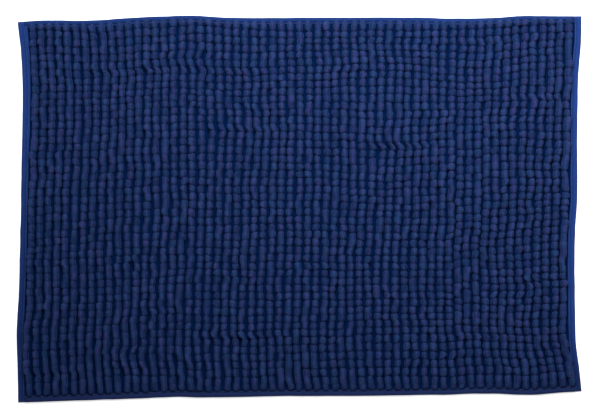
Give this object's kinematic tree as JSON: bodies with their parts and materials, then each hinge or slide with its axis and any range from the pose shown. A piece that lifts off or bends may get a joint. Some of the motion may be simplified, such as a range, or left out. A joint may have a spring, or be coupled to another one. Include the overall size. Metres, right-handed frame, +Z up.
{
  "type": "bath mat",
  "caption": "Rectangular tufted bath mat with rows of bobbled chenille pile on a coated ground cloth, bound by sewn hem tapes.",
  "frame": {"origin": "under the middle of the mat, on the surface that it lies on", "axes": "+X along the mat's long side, +Y across it towards the far hem, +Z up out of the pile"},
  "size_m": [0.6024, 0.4124, 0.0124],
  "materials": {
    "chenille": "matt microfibre chenille pile",
    "ground_cloth": "plain woven polyester",
    "hem_tape": "smooth woven tape with a soft sheen",
    "sewing_thread": "twisted polyester thread",
    "coating": "matt latex with raised dots"
  },
  "bodies": {
    "root": {"anti_slip_coating": "coating", "bobbin_thread_far": "sewing_thread", "bobbin_thread_left": "sewing_thread", "bobbin_thread_near": "sewing_thread", "bobbin_thread_right": "sewing_thread", "ground_cloth": "ground_cloth", "hem_tape_far": "hem_tape", "hem_tape_left": "hem_tape", "hem_tape_near": "hem_tape", "hem_tape_right": "hem_tape", "needle_thread_far": "sewing_thread", "needle_thread_left": "sewing_thread", "needle_thread_near": "sewing_thread", "needle_thread_right": "sewing_thread", "pile_strand_01_02": "chenille", "pile_strand_03_04": "chenille", "pile_strand_05_06": "chenille", "pile_strand_07_08": "chenille", "pile_strand_09_10": "chenille", "pile_strand_11_12": "chenille", "pile_strand_13_14": "chenille", "pile_strand_15_16": "chenille", "pile_strand_17_18": "chenille", "pile_strand_19_20": "chenille", "pile_strand_21_22": "chenille", "pile_strand_23_24": "chenille", "pile_strand_25_26": "chenille", "pile_strand_27_28": "chenille", "pile_strand_29_30": "chenille", "pile_strand_31_32": "chenille", "pile_strand_33_34": "chenille", "pile_strand_35_36": "chenille", "pile_strand_37_38": "chenille", "pile_strand_39_40": "chenille", "pile_strand_41_42": "chenille", "pile_strand_43_44": "chenille", "pile_strand_45_46": "chenille", "pile_strand_47_48": "chenille", "pile_strand_49_50": "chenille", "pile_strand_51_52": "chenille", "pile_strand_53_54": "chenille", "pile_strand_55_56": "chenille", "pile_strand_57_58": "chenille", "pile_strand_59_60": "chenille", "pile_strand_61": "chenille"}
  },
  "joints": []
}
